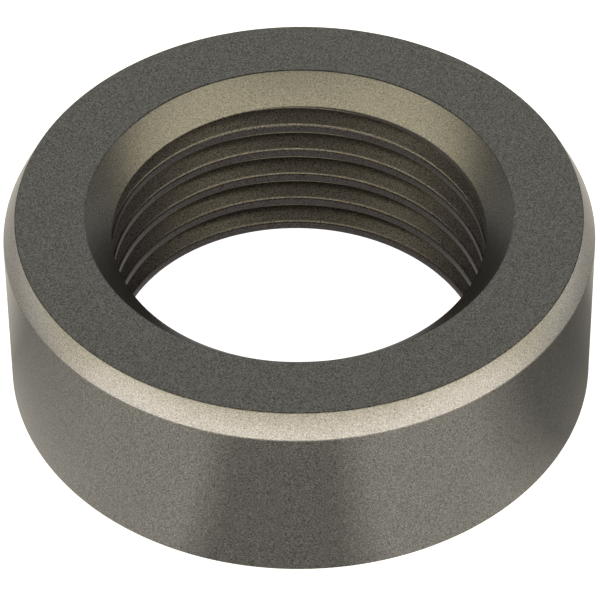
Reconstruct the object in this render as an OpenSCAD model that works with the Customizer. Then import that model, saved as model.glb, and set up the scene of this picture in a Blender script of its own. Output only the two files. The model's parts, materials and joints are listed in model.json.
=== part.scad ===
// Weld-on bung for an exhaust oxygen sensor: one short steel ring, turned and tapped.
// The origin is the centre of the underside, and +Z points up along the bore.

/* [Ring] */
// Outer diameter of the ring
outer_d = 26; // [24:0.5:34]
// Height of the ring, from the underside to the top face
ring_h = 9.1; // [7:0.1:16]

/* [Edges] */
// Width of the bevel round the top face, measured across the face
bevel_w = 0.55; // [0.2:0.05:1]
// Height of the bevel round the top face, measured down the wall
bevel_h = 1.1; // [0.4:0.05:2.4]
// Small chamfer that takes the burr off both bottom edges, at the wall and at the bore
edge_break = 0.1; // [0.05:0.05:0.4]

/* [Thread] */
// Nominal diameter of the right-hand thread, at the root of its groove
thread_d = 18; // [15:0.5:19]
// Pitch of the thread
thread_pitch = 1.5; // [1:0.25:2]
// Turn of the thread about the bore, in degrees
thread_turn = 135; // [0:5:355]

/* [Countersink] */
// Width that the countersink reaches beyond the thread's root
countersink_w = 0.4; // [0.2:0.05:1]
// Included angle of the countersink
countersink_angle = 90; // [80:5:120]

/* [Hidden] */
$fn = 96;

outer_r = outer_d / 2;
thread_r = thread_d / 2;

// The hole is drilled one pitch smaller than the thread before it is tapped.
bore_r = (thread_d - thread_pitch) / 2;

countersink_r = thread_r + countersink_w;
countersink_h = (countersink_r - bore_r) / tan(countersink_angle / 2);

// Metric groove: flanks 60 degrees apart, with a flat root an eighth of the pitch wide.
flank_angle = 30;
root_w = thread_pitch / 8;
groove_inner_r = bore_r - thread_pitch / 8;
steps_per_turn = 48;

function groove_w(r) = root_w + 2 * (thread_r - r) * tan(flank_angle);

// A corner of the groove's section, carried round the bore by whole steps of a turn.
function on_helix(step, corner) =
    let (turns = step / steps_per_turn, angle = 360 * turns + thread_turn)
    [corner[0] * cos(angle), corner[0] * sin(angle), corner[1] + thread_pitch * turns];

// The metal that the tap takes out, swept along a right-hand helix.
// It starts a turn below the ring and ends a turn above it, so both ends run clear.
module thread_groove() {
    section = [
        [groove_inner_r, -groove_w(groove_inner_r) / 2],
        [thread_r, -root_w / 2],
        [thread_r, root_w / 2],
        [groove_inner_r, groove_w(groove_inner_r) / 2]
    ];
    corners = len(section);
    last_step = ceil((ring_h / thread_pitch + 1) * steps_per_turn);
    rows = last_step + steps_per_turn;
    points = [for (step = [-steps_per_turn : last_step], corner = section) on_helix(step, corner)];
    sides = [
        for (row = [0 : rows - 1], c = [0 : corners - 1])
            let (a = row * corners + c, b = row * corners + (c + 1) % corners)
            each [[a, b, a + corners], [b, b + corners, a + corners]]
    ];
    start_face = [for (c = [corners - 1 : -1 : 0]) c];
    end_face = [for (c = [0 : corners - 1]) rows * corners + c];
    polyhedron(points, concat(sides, [start_face, end_face]));
}

// The ring as it leaves the lathe: bevelled, drilled and countersunk, but not yet tapped.
module turned_blank() {
    rotate_extrude()
        polygon([
            [bore_r + edge_break, 0],
            [outer_r - edge_break, 0],
            [outer_r, edge_break],
            [outer_r, ring_h - bevel_h],
            [outer_r - bevel_w, ring_h],
            [countersink_r, ring_h],
            [bore_r, ring_h - countersink_h],
            [bore_r, edge_break]
        ]);
}

module bung() {
    color("dimgray")
        difference() {
            turned_blank();
            thread_groove();
        }
}

bung();
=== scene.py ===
# %% [markdown]
# # A weld-on bung for an exhaust oxygen sensor
#
# The real object is one short ring of steel. A lathe turns it from bar, bevels its top edge, drills and
# countersinks it, and a tap cuts the thread. This lesson makes it in the same order: a turned blank, a tap,
# and a cut. After that come the steel's finish, the table, the light and the camera.
#
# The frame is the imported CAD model. It sits in metres with its origin at the centre of the underside,
# and the new ring goes exactly where the CAD ring is, so its sizes are read from the frame first.

# %% Load the frame
import json
import math

import bmesh
import bpy
from mathutils import Matrix, Vector


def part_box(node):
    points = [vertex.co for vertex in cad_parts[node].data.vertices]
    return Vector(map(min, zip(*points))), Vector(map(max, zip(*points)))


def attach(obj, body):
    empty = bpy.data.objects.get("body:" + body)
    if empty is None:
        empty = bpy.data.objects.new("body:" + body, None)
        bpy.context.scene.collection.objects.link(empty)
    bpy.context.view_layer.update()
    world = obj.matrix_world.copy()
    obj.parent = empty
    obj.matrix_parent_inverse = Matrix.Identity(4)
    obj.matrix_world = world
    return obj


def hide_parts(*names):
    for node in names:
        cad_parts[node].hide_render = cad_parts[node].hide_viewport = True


MM = 0.001

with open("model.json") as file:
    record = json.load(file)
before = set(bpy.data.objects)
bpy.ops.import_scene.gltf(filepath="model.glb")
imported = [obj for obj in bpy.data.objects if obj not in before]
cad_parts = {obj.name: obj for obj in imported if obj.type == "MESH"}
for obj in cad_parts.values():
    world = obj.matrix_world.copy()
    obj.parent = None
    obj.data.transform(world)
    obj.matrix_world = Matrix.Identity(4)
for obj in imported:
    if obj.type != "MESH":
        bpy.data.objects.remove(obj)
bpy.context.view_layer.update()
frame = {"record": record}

# %% [markdown]
# ## Sizes
#
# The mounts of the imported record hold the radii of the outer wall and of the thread's crests, and the box of
# the node holds the height. The hole was drilled one pitch smaller than the thread, so the root of the groove
# lies half a pitch beyond the crests. The thread's pitch and turn and the small edge sizes are in no mount,
# so they are written here.

# %% Read the sizes
PITCH = 1.5 * MM
THREAD_TURN = math.radians(135)
BEVEL_W = 0.55 * MM
BEVEL_H = 1.1 * MM
EDGE_BREAK = 0.1 * MM
COUNTERSINK_W = 0.4 * MM
COUNTERSINK_ANGLE = math.radians(90)

mounts = {mount["name"]: mount for mount in frame["record"]["mounts"]}
outer_r = mounts["weld_wall"]["dims"]["r_mm"] * MM
bore_r = mounts["sensor_thread"]["dims"]["r_mm"] * MM
thread_r = bore_r + PITCH / 2
countersink_r = thread_r + COUNTERSINK_W
ring_low, ring_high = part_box("bung")
ring_h = ring_high.z - ring_low.z
print(f"ring: {2 * outer_r / MM:.1f} mm across and {ring_h / MM:.1f} mm high")
print(f"thread: {2 * thread_r / MM:.1f} mm across its roots")

# %% [markdown]
# ## The turned blank
#
# A turned part is a section carried round an axis. The section could be typed as a long list of points with
# its round edges worked out by hand, but it is easier to draw only its corners and let the bevel operator
# round them: an edge that is a little round catches a thin line of light, as real machined edges do.
# The countersink and the small break at the bottom run on inwards past the bore, because the tap will cut
# that metal away and leave clean edges.

# %% Draw a section and round its corners
EDGE_ROUND = 0.06 * MM
ROUND_SEGMENTS = 4


def draw_section(bm, corners, closed):
    """Joins (radius, height) corners into a wire in the XZ plane, and returns its vertices."""
    verts = [bm.verts.new((radius, 0, height)) for radius, height in corners]
    for first, second in zip(verts, verts[1:]):
        bm.edges.new((first, second))
    if closed:
        bm.edges.new((verts[-1], verts[0]))
    return verts


def round_corners(bm, verts, size):
    """Rounds corners of a wire, taking the given length off both of its edges."""
    bmesh.ops.bevel(
        bm, geom=verts, offset=size, offset_type="OFFSET", segments=ROUND_SEGMENTS,
        profile=0.5, affect="VERTICES", material=-1,
    )


print(f"edges: rounded by {EDGE_ROUND / MM:.2f} mm in {ROUND_SEGMENTS} segments")

# %% Turn the blank
TURN_STEPS = 256
WASTE_W = PITCH / 4
core_r = bore_r - WASTE_W
cone_slope = math.tan(COUNTERSINK_ANGLE / 2)


def turned_blank():
    """The ring before tapping, as a closed bmesh."""
    kept_corners = [
        (bore_r + EDGE_BREAK, 0),
        (outer_r - EDGE_BREAK, 0),
        (outer_r, EDGE_BREAK),
        (outer_r, ring_h - BEVEL_H),
        (outer_r - BEVEL_W, ring_h),
        (countersink_r, ring_h),
    ]
    waste_corners = [
        (core_r, ring_h - (countersink_r - core_r) / cone_slope),
        (core_r, EDGE_BREAK + bore_r - core_r),
    ]
    bm = bmesh.new()
    verts = draw_section(bm, kept_corners + waste_corners, closed=True)
    round_corners(bm, verts[:len(kept_corners)], EDGE_ROUND)
    bmesh.ops.spin(
        bm, geom=bm.verts[:] + bm.edges[:], cent=(0, 0, 0), axis=(0, 0, 1), dvec=(0, 0, 0),
        angle=math.tau, steps=TURN_STEPS, use_merge=True, use_normal_flip=False, use_duplicate=False,
    )
    bmesh.ops.recalc_face_normals(bm, faces=bm.faces[:])
    return bm


blank = turned_blank()
print("blank:", len(blank.faces), "faces")

# %% [markdown]
# ## The tap
#
# A thread is one small section carried round the axis and lifted by one pitch a turn. The spin operator does
# both at once when it is given a lift. The section is a whole pitch long, from the middle of one crest to the
# middle of the next, so one turn ends on the edge where the next begins. One turn is swept, copied upwards by
# whole pitches, and the edges that meet are merged, which is much quicker than one long sweep.
#
# A metric groove has flanks 60 degrees apart and a flat root an eighth of the pitch wide. Its corners are
# rounded before the sweep, the crests more than the narrow roots, so that every turn catches a soft line of
# light. Two cuts make flat ends that close the tap. The lower end lies below the ring. The upper end lies
# just under the countersink, so the cone stays clean all round.

# %% Sweep the thread
TAP_STEPS = 128
SPARE_TURNS = 2
CREST_ROUND = 0.12 * MM
ROOT_ROUND = 0.08 * MM
LIP_H = 0.02 * MM
MERGE_GAP = 0.0015 * MM
FLANK_ANGLE = math.radians(30)
ROOT_W = PITCH / 8
groove_w = ROOT_W + 2 * (thread_r - bore_r) * math.tan(FLANK_ANGLE)
countersink_foot = ring_h - (countersink_r - bore_r) / cone_slope


def close_at(bm, height, outwards):
    """Cuts a swept thread flat at a height, and closes the cut."""
    cut = bmesh.ops.bisect_plane(
        bm, geom=bm.verts[:] + bm.edges[:] + bm.faces[:], dist=0,
        plane_co=(0, 0, height), plane_no=(0, 0, outwards), clear_outer=True,
    )
    rim = [item for item in cut["geom_cut"] if isinstance(item, bmesh.types.BMEdge)]
    bmesh.ops.contextual_create(bm, geom=rim)


def groove_section(bm):
    """Draws one pitch of the thread's section, with round corners."""
    _, low_crest, low_root, high_root, high_crest, _ = draw_section(
        bm,
        [
            (bore_r, -PITCH / 2),
            (bore_r, -groove_w / 2),
            (thread_r, -ROOT_W / 2),
            (thread_r, ROOT_W / 2),
            (bore_r, groove_w / 2),
            (bore_r, PITCH / 2),
        ],
        closed=False,
    )
    round_corners(bm, [low_crest, high_crest], CREST_ROUND)
    round_corners(bm, [low_root, high_root], ROOT_ROUND)


def tap():
    """The threaded plug that cuts the bore, as a closed bmesh."""
    bm = bmesh.new()
    groove_section(bm)
    start = Matrix.Rotation(THREAD_TURN, 4, "Z") @ Matrix.Translation((0, 0, -SPARE_TURNS * PITCH))
    bmesh.ops.transform(bm, matrix=start, verts=bm.verts[:])
    bmesh.ops.spin(
        bm, geom=bm.verts[:] + bm.edges[:], cent=(0, 0, 0), axis=(0, 0, 1),
        dvec=(0, 0, PITCH / TAP_STEPS), angle=math.tau, steps=TAP_STEPS,
        use_merge=False, use_normal_flip=False, use_duplicate=False,
    )
    one_turn = bm.verts[:] + bm.edges[:] + bm.faces[:]
    turns = math.ceil(ring_h / PITCH) + 2 * SPARE_TURNS
    for turn in range(1, turns):
        copy = bmesh.ops.duplicate(bm, geom=one_turn)["geom"]
        copied_verts = [item for item in copy if isinstance(item, bmesh.types.BMVert)]
        bmesh.ops.translate(bm, vec=(0, 0, turn * PITCH), verts=copied_verts)
    bmesh.ops.remove_doubles(bm, verts=bm.verts[:], dist=MERGE_GAP)
    close_at(bm, -PITCH / 2, -1)
    close_at(bm, countersink_foot - LIP_H, 1)
    bmesh.ops.recalc_face_normals(bm, faces=bm.faces[:])
    return bm


thread_tap = tap()
print("tap:", len(thread_tap.faces), "faces")

# %% [markdown]
# ## Tapping the hole
#
# Cutting one closed shape out of another is what the Boolean modifier is for. The cut is baked into a new
# mesh, so nothing depends on the tap afterwards, and the tap is thrown away. Where the two meshes cross, a
# cut can leave points almost on top of each other. These are merged, so that the mesh stays cleanly closed.
#
# Every face is then smooth-shaded, so the wall and the cone look round, but an edge stays sharp where two
# faces meet at more than a small angle. Weighted normals let the large faces decide the shading, so that the
# narrow faces that a cut leaves don't bend the light.

# %% Cut the thread and finish the mesh
SHARP_ANGLE = math.radians(10)
SLIVER = 0.0005 * MM


def as_object(bm, name):
    """A scene object from a bmesh, at the origin."""
    mesh = bpy.data.meshes.new(name)
    bm.to_mesh(mesh)
    bm.free()
    piece = bpy.data.objects.new(name, mesh)
    bpy.context.scene.collection.objects.link(piece)
    return piece


def bake_modifiers(piece):
    """Applies a piece's modifiers to its mesh."""
    bpy.context.view_layer.update()
    evaluated = piece.evaluated_get(bpy.context.evaluated_depsgraph_get())
    mesh = bpy.data.meshes.new_from_object(evaluated)
    piece.modifiers.clear()
    piece.data = mesh
    mesh.name = piece.name


def close_slivers(piece):
    """Merges the points that a cut has left almost on top of each other."""
    bm = bmesh.new()
    bm.from_mesh(piece.data)
    bmesh.ops.dissolve_degenerate(bm, dist=SLIVER, edges=bm.edges[:])
    bm.to_mesh(piece.data)
    bm.free()


bung = as_object(blank, "threaded_ring")
tap_piece = as_object(thread_tap, "tap")
cut = bung.modifiers.new("tapping", "BOOLEAN")
cut.operation = "DIFFERENCE"
cut.solver = "MANIFOLD"
cut.object = tap_piece
bake_modifiers(bung)
bpy.data.objects.remove(tap_piece)
close_slivers(bung)

bung.data.shade_smooth()
bung.data.set_sharp_from_angle(angle=SHARP_ANGLE)
flats = bung.modifiers.new("flats", "WEIGHTED_NORMAL")
flats.keep_sharp = True
bake_modifiers(bung)
print("threaded ring:", len(bung.data.polygons), "faces")

# %% [markdown]
# ## Which surface is which
#
# The surfaces of the ring were cut by different tools, so they differ in finish. They could be separate
# materials on picked faces, but on a ring the place of a point already tells its surface: the distance from
# the axis and the height are enough. A few maths nodes turn these two into masks, which are 1 on a surface
# and 0 elsewhere.

# %% Mark the slopes and the thread
LEVEL = (1, 1, 0)
face_outer_r = outer_r - BEVEL_W
face_middle_r = (face_outer_r + countersink_r) / 2


def maths(tree, operation, first, second=None):
    """A socket with the result of a maths node on a socket and a second socket or number."""
    node = tree.nodes.new("ShaderNodeMath")
    node.operation = operation
    tree.links.new(first, node.inputs[0])
    if isinstance(second, float):
        node.inputs[1].default_value = second
    elif second is not None:
        tree.links.new(second, node.inputs[1])
    return node.outputs["Value"]


def axis_distance(tree, place):
    """A socket with a place's distance from the bore's axis."""
    level = tree.nodes.new("ShaderNodeVectorMath")
    level.operation = "MULTIPLY"
    level.inputs[1].default_value = LEVEL
    tree.links.new(place, level.inputs[0])
    length = tree.nodes.new("ShaderNodeVectorMath")
    length.operation = "LENGTH"
    tree.links.new(level.outputs["Vector"], length.inputs[0])
    return length.outputs["Value"]


def height_of(tree, place):
    """A socket with a place's height."""
    parts = tree.nodes.new("ShaderNodeSeparateXYZ")
    tree.links.new(place, parts.inputs["Vector"])
    return parts.outputs["Z"]


def on_slopes(tree, place):
    """A socket that is 1 on the bevel and the countersink, which lie on both sides of the top face."""
    past_middle = maths(tree, "SUBTRACT", axis_distance(tree, place), face_middle_r)
    from_middle = maths(tree, "ABSOLUTE", past_middle)
    beside_face = maths(tree, "GREATER_THAN", from_middle, face_outer_r - face_middle_r)
    high = maths(tree, "GREATER_THAN", height_of(tree, place), countersink_foot)
    return maths(tree, "MULTIPLY", beside_face, high)


def on_thread(tree, place):
    """A socket that is 1 in the bore below the countersink."""
    in_bore = maths(tree, "LESS_THAN", axis_distance(tree, place), thread_r + EDGE_BREAK)
    low = maths(tree, "LESS_THAN", height_of(tree, place), countersink_foot)
    return maths(tree, "MULTIPLY", in_bore, low)


print(f"top face: {countersink_r / MM:.2f} to {face_outer_r / MM:.2f} mm from the axis")
print(f"thread: up to a height of {countersink_foot / MM:.2f} mm")

# %% [markdown]
# ## Steel
#
# The ring is plain machined steel, a little dark and satin, with a fine grain that shows all over it.
# A metal has no colour of its own apart from what it reflects, so the shader is fully metallic and the look
# comes from the light. The grain could be painted on an image, but noise in Object coordinates has no seams
# and stays sharp at any distance. It goes into the colour, into the roughness and into a bump that is as
# shallow as the marks of a lathe.
#
# The bevel and the countersink were cut last and lightly, so their grain is fainter and their shine a little
# softer. The thread was torn by the tap, so it is less smooth, and its colour is darkened as painted shade
# for the shade deep in the bore.

# %% Grow the grain
GRAIN_SIZE = 0.06 * MM
GRAIN_DETAIL = 2.0
GRAIN_MIDDLE = 0.5
SLOPE_GRAIN = 0.65


def steel_grain(tree, place, slopes):
    """A socket with fine noise, which is fainter on the slopes."""
    noise = tree.nodes.new("ShaderNodeTexNoise")
    noise.inputs["Scale"].default_value = 1 / GRAIN_SIZE
    noise.inputs["Detail"].default_value = GRAIN_DETAIL
    tree.links.new(place, noise.inputs["Vector"])
    calm = tree.nodes.new("ShaderNodeMix")
    tree.links.new(maths(tree, "MULTIPLY", slopes, 1 - SLOPE_GRAIN), calm.inputs["Factor"])
    tree.links.new(noise.outputs["Fac"], calm.inputs["A"])
    calm.inputs["B"].default_value = GRAIN_MIDDLE
    return calm.outputs["Result"]


print(f"grain: {GRAIN_SIZE / MM:.2f} mm wide")

# %% Colour the steel
STEEL = (1, 1, 0.975)
DARK_STEEL = 0.08
LIGHT_STEEL = 0.32
GRAIN_SPREAD = 0.2
# The thread's darker colour is painted shade for the shade deep in the bore, not a colour of the steel.
PAINTED_THREAD_SHADE_TINT = (1, 0.95, 0.96)
PAINTED_THREAD_SHADE = 0.62


def tinted(color, strength):
    """A colour times a strength, as a socket takes it."""
    return (*(channel * strength for channel in color), 1)


def color_ramp(tree, value, stops):
    """A socket with the colours of (position, colour) stops along a value."""
    ramp = tree.nodes.new("ShaderNodeValToRGB")
    elements = ramp.color_ramp.elements
    while len(elements) < len(stops):
        elements.new(1.0)
    for element, (position, color) in zip(elements, stops):
        element.position = position
        element.color = color
    tree.links.new(value, ramp.inputs["Fac"])
    return ramp.outputs["Color"]


def mixed_color(tree, factor, first, second, blend_type):
    """A socket with a colour mixed with a fixed second one."""
    mix = tree.nodes.new("ShaderNodeMix")
    mix.data_type = "RGBA"
    mix.blend_type = blend_type
    tree.links.new(factor, mix.inputs["Factor"])
    tree.links.new(first, mix.inputs["A"])
    mix.inputs["B"].default_value = second
    return mix.outputs["Result"]


def steel_color(tree, grain, thread):
    """A socket with the steel's colour, which follows the grain and has painted shade in the thread."""
    stops = (
        (GRAIN_MIDDLE - GRAIN_SPREAD, tinted(STEEL, DARK_STEEL)),
        (GRAIN_MIDDLE + GRAIN_SPREAD, tinted(STEEL, LIGHT_STEEL)),
    )
    open_steel = color_ramp(tree, grain, stops)
    return mixed_color(tree, thread, open_steel, tinted(PAINTED_THREAD_SHADE_TINT, PAINTED_THREAD_SHADE), "MULTIPLY")


print(f"colour: mirrors {DARK_STEEL:.0%} to {LIGHT_STEEL:.0%} of the light")

# %% Roughen the steel
SMOOTHEST = 0.15
ROUGHEST = 0.28
SLOPE_ROUGHNESS = 0.08
THREAD_ROUGHNESS = 0.08
GRAIN_DEPTH = 0.003 * MM


def steel_roughness(tree, grain, slopes, thread):
    """A socket with the steel's roughness, which is higher on the slopes and in the thread."""
    rough = tree.nodes.new("ShaderNodeMapRange")
    rough.inputs["To Min"].default_value = SMOOTHEST
    rough.inputs["To Max"].default_value = ROUGHEST
    tree.links.new(grain, rough.inputs["Value"])
    torn = maths(tree, "MULTIPLY", thread, THREAD_ROUGHNESS)
    scraped = maths(tree, "MULTIPLY", slopes, SLOPE_ROUGHNESS)
    return maths(tree, "ADD", rough.outputs["Result"], maths(tree, "ADD", torn, scraped))


def steel_relief(tree, grain):
    """A socket with normals that the grain tips a little."""
    relief = tree.nodes.new("ShaderNodeBump")
    relief.inputs["Strength"].default_value = 1.0
    relief.inputs["Distance"].default_value = GRAIN_DEPTH
    tree.links.new(grain, relief.inputs["Height"])
    return relief.outputs["Normal"]


print(f"roughness: {SMOOTHEST} to {ROUGHEST}, with a relief of {GRAIN_DEPTH / MM:.3f} mm")

# %% Make the steel
def turned_steel():
    """Satin machined steel with a fine grain."""
    material = bpy.data.materials.new("turned_steel")
    material.use_nodes = True
    tree = material.node_tree
    place = tree.nodes.new("ShaderNodeTexCoord").outputs["Object"]
    slopes = on_slopes(tree, place)
    thread = on_thread(tree, place)
    grain = steel_grain(tree, place, slopes)

    shader = tree.nodes["Principled BSDF"]
    shader.inputs["Metallic"].default_value = 1.0
    tree.links.new(steel_color(tree, grain, thread), shader.inputs["Base Color"])
    tree.links.new(steel_roughness(tree, grain, slopes, thread), shader.inputs["Roughness"])
    tree.links.new(steel_relief(tree, grain), shader.inputs["Normal"])
    return material


# The cut has left an empty slot, so the slots are cleared before the steel goes in.
bung.data.materials.clear()
bung.data.materials.append(turned_steel())
print("steel:", len(bung.data.materials[0].node_tree.nodes), "nodes")

# %% [markdown]
# ## Table
#
# The ring stands on white paper. In the picture the paper is so bright that it is plain white, inside the
# hole too, while the steel mirrors it in its true shades. One plane can't do both, so there are two: a floor
# that only the camera sees, and a sheet of paper that only the steel sees. The floor lies a hair below the
# ring's underside and the paper a hair below the floor, because planes at one height would mix.

# %% Lay the floor
FLOOR_SIZE = 2.0
FLOOR_SHADE = 0.9
FLOOR_GLOW = 0.8
WHITE = (1, 1, 1)
HAIR = 0.02 * MM


def lay(bm, name, height):
    """A flat bmesh as an object of the stage, at a height from the ring's underside."""
    bmesh.ops.translate(bm, vec=(0, 0, height), verts=bm.verts[:])
    piece = as_object(bm, name)
    return piece


def sheet(name, size, depth):
    """A level square about the axis, at a depth below the ring's underside."""
    bm = bmesh.new()
    bmesh.ops.create_grid(bm, x_segments=1, y_segments=1, size=size / 2)
    return lay(bm, name, -depth)


def glowing(name, shade, color, glow):
    """A plain matt surface of a grey shade that also glows in a colour."""
    material = bpy.data.materials.new(name)
    material.use_nodes = True
    shader = material.node_tree.nodes["Principled BSDF"]
    shader.inputs["Base Color"].default_value = tinted(WHITE, shade)
    shader.inputs["Roughness"].default_value = 1.0
    shader.inputs["Specular IOR Level"].default_value = 0.0
    shader.inputs["Emission Color"].default_value = tinted(color, 1)
    shader.inputs["Emission Strength"].default_value = glow
    return material


floor = sheet("floor", FLOOR_SIZE, HAIR)
floor.data.materials.append(glowing("white_floor", FLOOR_SHADE, WHITE, FLOOR_GLOW))
floor.visible_glossy = False
floor.visible_diffuse = False
floor.visible_shadow = False
print("floor:", FLOOR_SIZE, "m wide")

# %% [markdown]
# ## The paper that the steel mirrors
#
# The ring keeps some light off the paper close to it, in front and to the right, and the wall mirrors that
# as upright bands. Lamps could cast such a shade, but every lamp would also show in the steel. So the paper
# glows by itself, in a soft ramp round the ring, and further out the glow evens out.
# Each stop of the ramp is a direction in degrees, from the left by way of the front, and a shade.

# %% Lay the paper that the steel mirrors
PAPER_SIZE = 100 * MM
PAPER_GLOW = 1.25
PAPER_TINT = (1, 0.94, 0.83)
FULL_TURN = 360
SHADES = (
    (0, 0.32), (22, 0.56), (34, 0.69), (63, 0.78), (72, 0.4), (98, 0.4), (108, 0.79), (136, 0.74),
    (156, 0.26), (177, 0.165), (190, 0.2), (212, 0.82), (330, 0.82), (FULL_TURN, 0.32),
)
FAR_SHADE = 0.68
SHADOW_EDGE = (20 * MM, 34 * MM)


def soft_step(tree, value, start, end):
    """A socket that goes smoothly from 0 at start to 1 at end."""
    step = tree.nodes.new("ShaderNodeMapRange")
    step.interpolation_type = "SMOOTHSTEP"
    step.inputs["From Min"].default_value = start
    step.inputs["From Max"].default_value = end
    tree.links.new(value, step.inputs["Value"])
    return step.outputs["Result"]


def mirrored_paper():
    """Paper that glows by the direction from the ring."""
    material = glowing("paper", shade=0, color=PAPER_TINT, glow=PAPER_GLOW)
    tree = material.node_tree
    place = tree.nodes.new("ShaderNodeTexCoord").outputs["Object"]
    around = tree.nodes.new("ShaderNodeTexGradient")
    around.gradient_type = "RADIAL"
    tree.links.new(place, around.inputs["Vector"])
    stops = [(degrees / FULL_TURN, tinted(PAPER_TINT, shade)) for degrees, shade in SHADES]
    near = color_ramp(tree, around.outputs["Fac"], stops)
    far = soft_step(tree, axis_distance(tree, place), *SHADOW_EDGE)
    color = mixed_color(tree, far, near, tinted(PAPER_TINT, FAR_SHADE), "MIX")
    tree.links.new(color, tree.nodes["Principled BSDF"].inputs["Emission Color"])
    return material


paper = sheet("paper", PAPER_SIZE, 2 * HAIR)
paper.data.materials.append(mirrored_paper())
paper.visible_camera = False
print("paper:", round(PAPER_SIZE / MM), "mm wide")

# %% [markdown]
# ## The paper in the hole
#
# Inside the ring the paper lies in deep shade, which keeps the thread dark, although the camera sees it as
# white as the rest. The ramp of the paper goes round the ring, so it can't give that shade. A dim disc does,
# which only the steel sees, a hair above the ring's underside.

# %% Shade the paper in the hole
HOLE_GLOW = 0.42
HOLE_TINT = (1, 0.92, 0.86)


def disc(name, radius):
    """A level disc about the axis, a hair above the ring's underside."""
    bm = bmesh.new()
    bmesh.ops.create_circle(bm, cap_ends=True, radius=radius, segments=TURN_STEPS)
    return lay(bm, name, HAIR)


shaded_paper = disc("shaded_paper", thread_r)
shaded_paper.data.materials.append(glowing("shaded_paper", shade=0, color=HOLE_TINT, glow=HOLE_GLOW))
shaded_paper.visible_camera = False
print("shaded paper:", round(2 * thread_r / MM), "mm across")

# %% [markdown]
# ## Light
#
# Satin steel shows what stands round it, so the light is the room itself. Area lamps would do it too, but
# each lamp would show in the thread as its own hard streak. A world of soft walls is simpler to steer.
#
# The walls are a ramp that runs from low in front to high behind. The bevel looks at the low front, where a
# bright window is. The countersink looks at the warm wall above the window, the thread looks up into the
# dark, and the top face looks at the pale wall high behind. That is why the four have such different tones
# although they are the same steel. Between the dark and the pale wall lies a dim side wall, and the ceiling
# is dark as well. A pale horizon goes all round and softens the countersink's sides, and below it the far
# table glows. Each border is a pair of values between which one light fades into the next.

# %% Light the studio
BRIGHTEST = 4.0
WINDOW = tinted((1, 0.91, 0.8), 1)
WARM_WALL = tinted((1, 0.9, 0.64), 0.44)
DARK_ROOM = tinted((1, 0.95, 0.9), 0.035)
SIDE_WALL = tinted((1, 0.95, 0.9), 0.057)
BACK_WALL = tinted((1, 0.98, 0.88), 0.13)
HORIZON = tinted((1, 0.96, 0.88), 0.116)
FAR_TABLE = tinted((1, 0.94, 0.87), 0.437)
ROOM_AXIS = Vector((0, 1, 1)).normalized()
WALLS = (
    (0.42, WARM_WALL), (0.46, DARK_ROOM), (0.64, DARK_ROOM),
    (0.72, SIDE_WALL), (0.82, SIDE_WALL), (0.92, BACK_WALL),
)
WINDOW_BACK = (-0.03, -0.32)
WINDOW_TOP = (0.27, 0.1)
CEILING = (0.79, 0.89)
HORIZON_TOP = (0.35, 0.12)
TABLE_TOP = (0, -0.08)


def along_axis(tree, direction):
    """A socket that goes from -1, low in front, to 1, high behind."""
    along = tree.nodes.new("ShaderNodeVectorMath")
    along.operation = "DOT_PRODUCT"
    along.inputs[1].default_value = ROOM_AXIS
    tree.links.new(direction, along.inputs[0])
    return along.outputs["Value"]


def studio():
    """A world that is bright low in front, dark overhead and pale behind."""
    world = bpy.data.worlds.new("studio")
    world.use_nodes = True
    tree = world.node_tree
    direction = tree.nodes.new("ShaderNodeTexCoord").outputs["Generated"]
    height = height_of(tree, direction)
    along = along_axis(tree, direction)
    in_front = soft_step(tree, along, *WINDOW_BACK)
    below_top = soft_step(tree, height, *WINDOW_TOP)
    in_window = maths(tree, "MULTIPLY", in_front, below_top)
    color = color_ramp(tree, along, WALLS)
    color = mixed_color(tree, in_window, color, WINDOW, "MIX")
    color = mixed_color(tree, soft_step(tree, height, *CEILING), color, DARK_ROOM, "MIX")
    color = mixed_color(tree, soft_step(tree, height, *HORIZON_TOP), color, HORIZON, "LIGHTEN")
    color = mixed_color(tree, soft_step(tree, height, *TABLE_TOP), color, FAR_TABLE, "LIGHTEN")
    sky = tree.nodes["Background"]
    sky.inputs["Strength"].default_value = BRIGHTEST
    tree.links.new(color, sky.inputs["Color"])
    return world


bpy.context.scene.world = studio()
print("studio:", len(WALLS), "stops along the walls")

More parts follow.
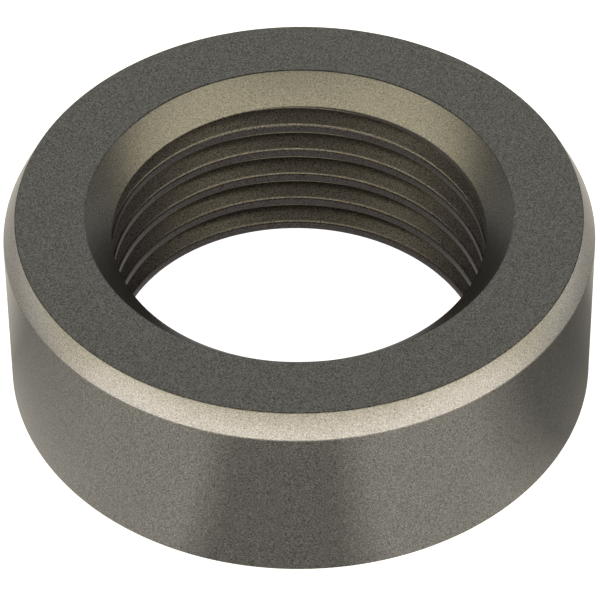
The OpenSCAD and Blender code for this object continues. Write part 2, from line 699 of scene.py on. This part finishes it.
# %% [markdown]
# ## Camera
#
# The picture was taken from a little under 45 degrees above the table. The mouth of the bore, the top edge
# and the foot of the ring are three circles one above the other, and in the picture their ellipses give the
# angle, the scale and the pixel where the frame's origin falls. The camera could be moved by eye until the
# outlines meet, but the measured numbers place it at once: it looks from a fixed distance at a point beside
# the origin, so that the origin comes to its pixel, and then it is rolled by half a degree.
# The plain view transform keeps the white of the paper white.

# %% Place the camera
CAMERA_ELEVATION = math.radians(44.66)
CAMERA_ROLL = math.radians(-0.54)
CAMERA_DISTANCE = 200 * MM
PIXELS_PER_METRE = 22122
PICTURE_WIDTH = 600
ORIGIN_PIXEL = Vector((299.89, 358.68))
SENSOR_WIDTH = 36.0
NEAREST = 10 * MM


def aim():
    """The camera's matrix, from the picture's angle and the pixel of the origin."""
    back = Vector((0, -math.cos(CAMERA_ELEVATION), math.sin(CAMERA_ELEVATION)))
    right = Vector((1, 0, 0))
    up = back.cross(right)
    offset_right = (PICTURE_WIDTH / 2 - ORIGIN_PIXEL.x) / PIXELS_PER_METRE
    offset_up = (ORIGIN_PIXEL.y - PICTURE_WIDTH / 2) / PIXELS_PER_METRE
    position = back * CAMERA_DISTANCE
    view_axis = (position - right * offset_right - up * offset_up).normalized()
    side = Vector((0, 0, 1)).cross(view_axis).normalized()
    facing = Matrix((side, view_axis.cross(side), view_axis)).transposed().to_4x4()
    return Matrix.Translation(position) @ facing @ Matrix.Rotation(CAMERA_ROLL, 4, "Z")


camera_data = bpy.data.cameras.new("camera")
camera_data.sensor_width = SENSOR_WIDTH
camera_data.lens = SENSOR_WIDTH * PIXELS_PER_METRE * CAMERA_DISTANCE / PICTURE_WIDTH
camera_data.clip_start = NEAREST
camera = bpy.data.objects.new("camera", camera_data)
camera.matrix_world = aim()
bpy.context.scene.collection.objects.link(camera)
bpy.context.scene.camera = camera
bpy.context.scene.view_settings.view_transform = "Standard"
print(f"camera: lens of {camera_data.lens:.0f} mm")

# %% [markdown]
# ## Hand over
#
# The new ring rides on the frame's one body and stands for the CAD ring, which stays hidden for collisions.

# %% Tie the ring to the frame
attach(bung, "root")
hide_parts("bung")
